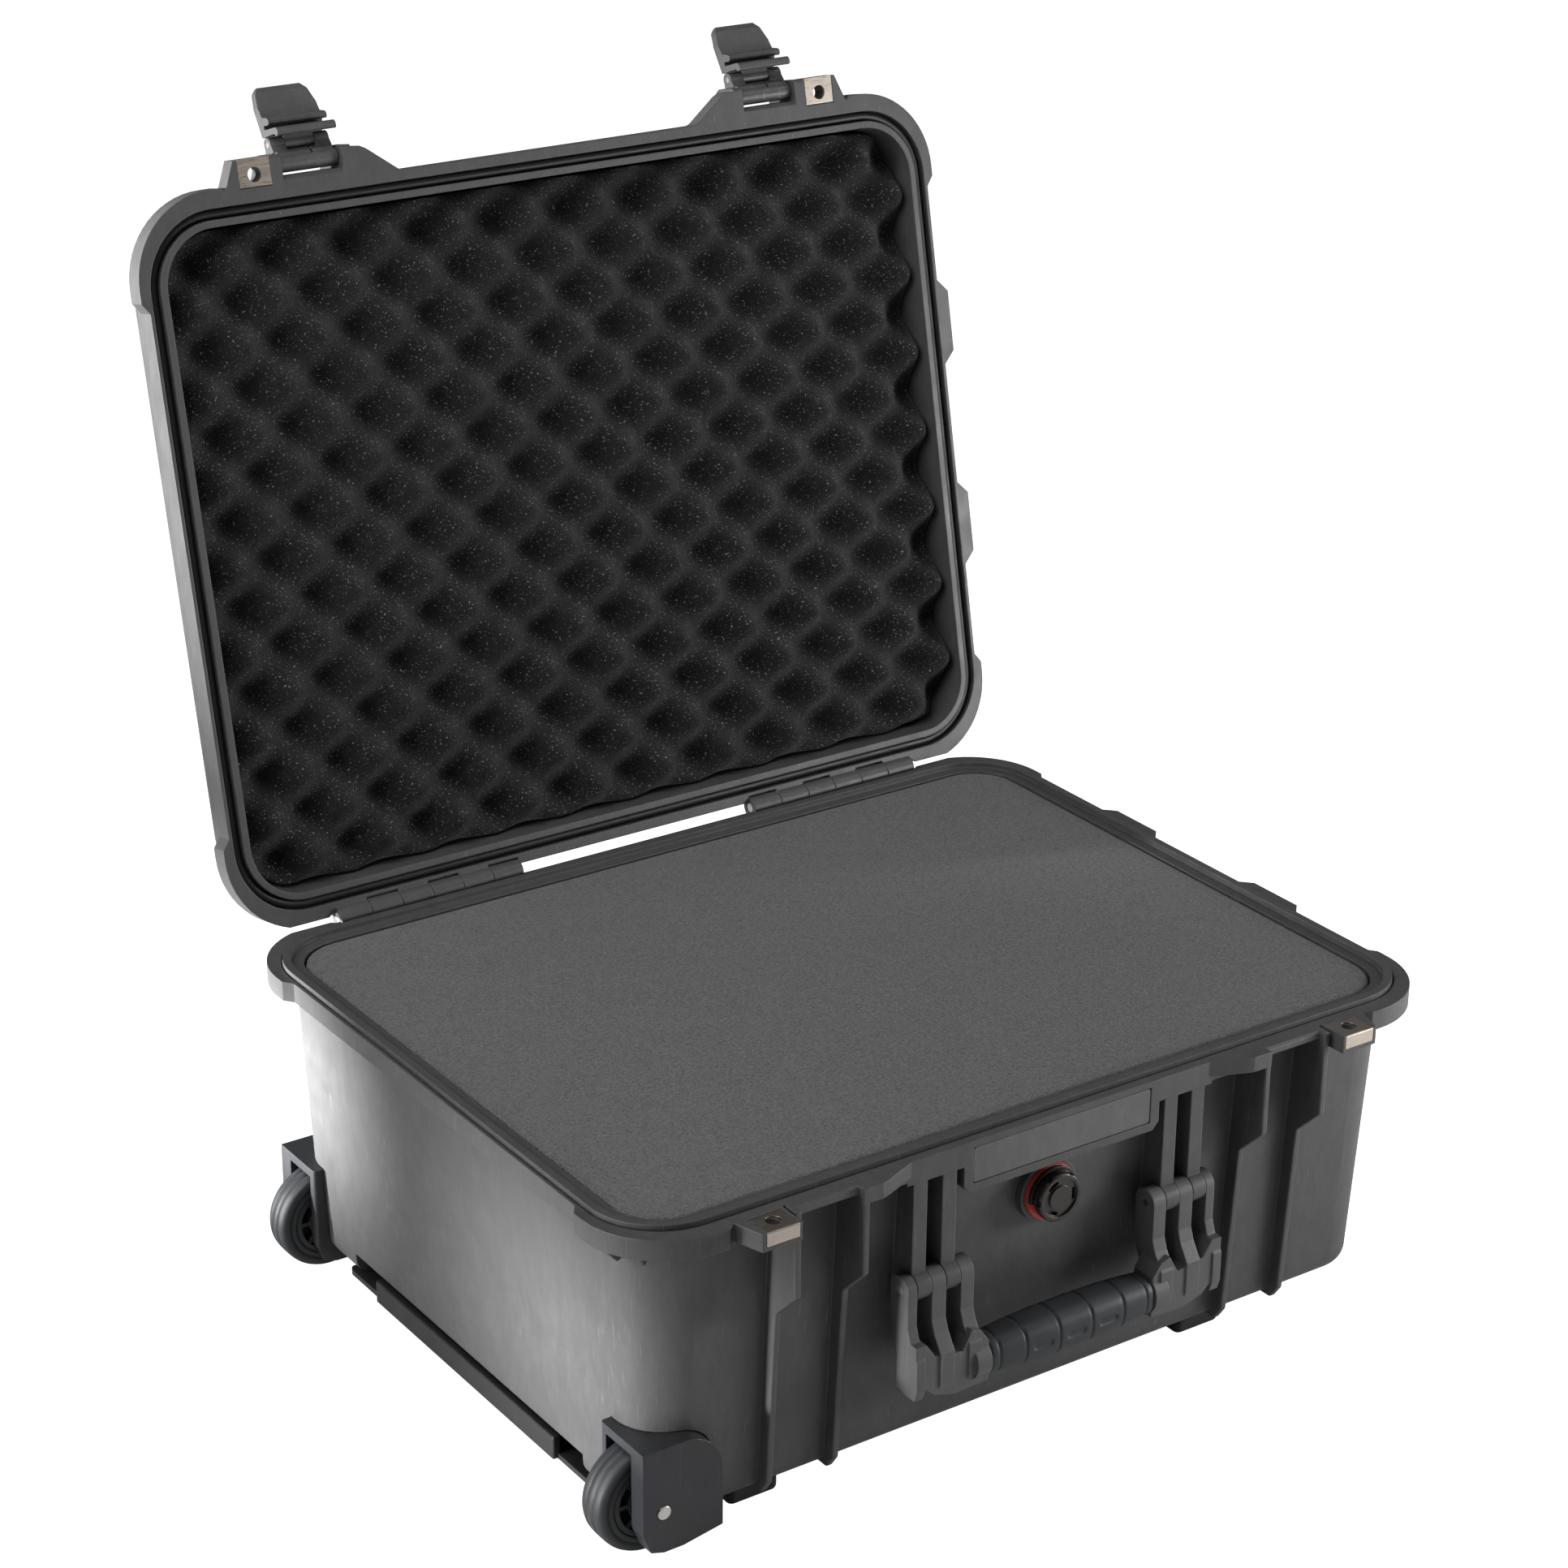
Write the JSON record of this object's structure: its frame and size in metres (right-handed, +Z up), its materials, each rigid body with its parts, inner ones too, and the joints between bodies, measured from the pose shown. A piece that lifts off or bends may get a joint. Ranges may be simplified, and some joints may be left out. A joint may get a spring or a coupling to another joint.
{
  "type": "hard equipment case",
  "caption": "Wheeled hard case, lid open: foam-lined base, convoluted lid foam, seal, swing latches, carry handles and telescopic pull handle.",
  "frame": {"origin": "on the floor, in the middle of the open case's outline seen from above (the middle of the base is 7.65 mm to -X and 60.703 mm to -Y of it)", "axes": "+X along the long side towards the pull handle end, -Y towards the latches and front carry handle, +Z up from the floor"},
  "size_m": [0.5692, 0.58, 0.659],
  "materials": {
    "shell_plastic": "grained satin",
    "block_foam": "matte open-cell foam",
    "convoluted_foam": "matte open-cell foam",
    "seal_rubber": "satin",
    "stainless_plate": "brushed",
    "steel_pins": "satin",
    "screws": "black oxide",
    "plate_plastic": "satin",
    "valve_plastic": "satin",
    "red_rubber": "satin",
    "membrane": "matte",
    "latch_plastic": "grained satin",
    "handle_plastic": "grained satin",
    "grip_rubber": "satin",
    "black_plastic": "satin",
    "wheel_rubber": "satin",
    "wheel_hub_plastic": "satin",
    "bearing_steel": "polished",
    "foot_rubber": "matte",
    "tube_aluminium": "anodised satin"
  },
  "bodies": {
    "base": {"base_shell": "shell_plastic", "base_foam_top_layer": "block_foam", "base_foam_middle_layer": "block_foam", "base_foam_floor_pad": "block_foam", "base_padlock_plates": "stainless_plate", "name_plate": "plate_plastic", "valve_red_ring": "red_rubber", "valve_body": "valve_plastic", "valve_cap": "valve_plastic", "valve_nut": "steel_pins", "valve_membrane": "membrane", "hinge_pins": "steel_pins", "front_handle_pins": "steel_pins", "side_handle_pins": "steel_pins", "front_wheel_housing": "black_plastic", "rear_wheel_housing": "black_plastic", "wheel_axles": "steel_pins", "wheel_housing_screws": "screws", "bottom_cover": "black_plastic", "bottom_cover_screws": "screws", "rubber_feet": "foot_rubber", "pull_handle_guide_tubes": "tube_aluminium"},
    "lid": {"lid_shell": "shell_plastic", "lid_foam": "convoluted_foam", "lid_seal": "seal_rubber", "lid_padlock_plates": "stainless_plate", "latch_hinge_pins": "steel_pins"},
    "left_latch_link_body": {"left_latch_link": "latch_plastic", "left_latch_lever_pin": "steel_pins"},
    "left_latch_lever_body": {"left_latch_lever": "latch_plastic"},
    "right_latch_link_body": {"right_latch_link": "latch_plastic", "right_latch_lever_pin": "steel_pins"},
    "right_latch_lever_body": {"right_latch_lever": "latch_plastic"},
    "front_handle": {"front_handle_frame": "handle_plastic", "front_handle_grip": "grip_rubber"},
    "side_handle": {"side_handle_frame": "handle_plastic", "side_handle_grip": "grip_rubber"},
    "front_wheel": {"front_wheel_tyre": "wheel_rubber", "front_wheel_hub": "wheel_hub_plastic", "front_wheel_bearings": "bearing_steel"},
    "rear_wheel": {"rear_wheel_tyre": "wheel_rubber", "rear_wheel_hub": "wheel_hub_plastic", "rear_wheel_bearings": "bearing_steel"},
    "pull_stage_one": {"pull_handle_outer_tubes": "tube_aluminium", "pull_handle_collar": "black_plastic"},
    "pull_stage_two": {"pull_handle_inner_tubes": "tube_aluminium", "pull_handle_grip": "black_plastic", "button_spring_washers": "screws"},
    "pull_button": {"pull_handle_button": "black_plastic"}
  },
  "joints": [
    {"name": "lid_hinge", "type": "hinge", "parent": "base", "child": "lid", "pos_m": [-0.00765, 0.1523, 0.198], "axis": [-1, 0, 0], "range_deg": [-102, 3]},
    {"name": "left_latch_swing", "type": "hinge", "parent": "lid", "child": "left_latch_link_body", "pos_m": [-0.1644, 0.25056, 0.62183], "axis": [-1, 0, 0], "range_deg": [-100, 40]},
    {"name": "left_latch_lever_swing", "type": "hinge", "parent": "left_latch_link_body", "child": "left_latch_lever_body", "pos_m": [-0.1644, 0.26016, 0.6309], "axis": [-1, 0, 0], "range_deg": [0, 60]},
    {"name": "right_latch_swing", "type": "hinge", "parent": "lid", "child": "right_latch_link_body", "pos_m": [0.1491, 0.25056, 0.62183], "axis": [-1, 0, 0], "range_deg": [-100, 40]},
    {"name": "right_latch_lever_swing", "type": "hinge", "parent": "right_latch_link_body", "child": "right_latch_lever_body", "pos_m": [0.1491, 0.26016, 0.6309], "axis": [-1, 0, 0], "range_deg": [0, 60]},
    {"name": "front_handle_swing", "type": "hinge", "parent": "base", "child": "front_handle", "pos_m": [-0.00765, -0.2677, 0.121], "axis": [-1, 0, 0], "range_deg": [0, 100]},
    {"name": "side_handle_swing", "type": "hinge", "parent": "base", "child": "side_handle", "pos_m": [0.26235, -0.0607, 0.121], "axis": [0, -1, 0], "range_deg": [0, 100]},
    {"name": "front_wheel_spin", "type": "hinge", "parent": "base", "child": "front_wheel", "pos_m": [-0.25365, -0.2352, 0.031], "axis": [0, 1, 0], "continuous": true},
    {"name": "rear_wheel_spin", "type": "hinge", "parent": "base", "child": "rear_wheel", "pos_m": [-0.25365, 0.1138, 0.031], "axis": [0, 1, 0], "continuous": true},
    {"name": "pull_handle_first_stage", "type": "slide", "parent": "base", "child": "pull_stage_one", "axis": [1, 0, 0], "range_m": [0, 0.26]},
    {"name": "pull_handle_second_stage", "type": "slide", "parent": "pull_stage_one", "child": "pull_stage_two", "axis": [1, 0, 0], "range_m": [0, 0.26]},
    {"name": "release_button_press", "type": "slide", "parent": "pull_stage_two", "child": "pull_button", "axis": [-1, 0, 0], "range_m": [0, 0.0022], "stiffness_N_per_m": 300}
  ]
}
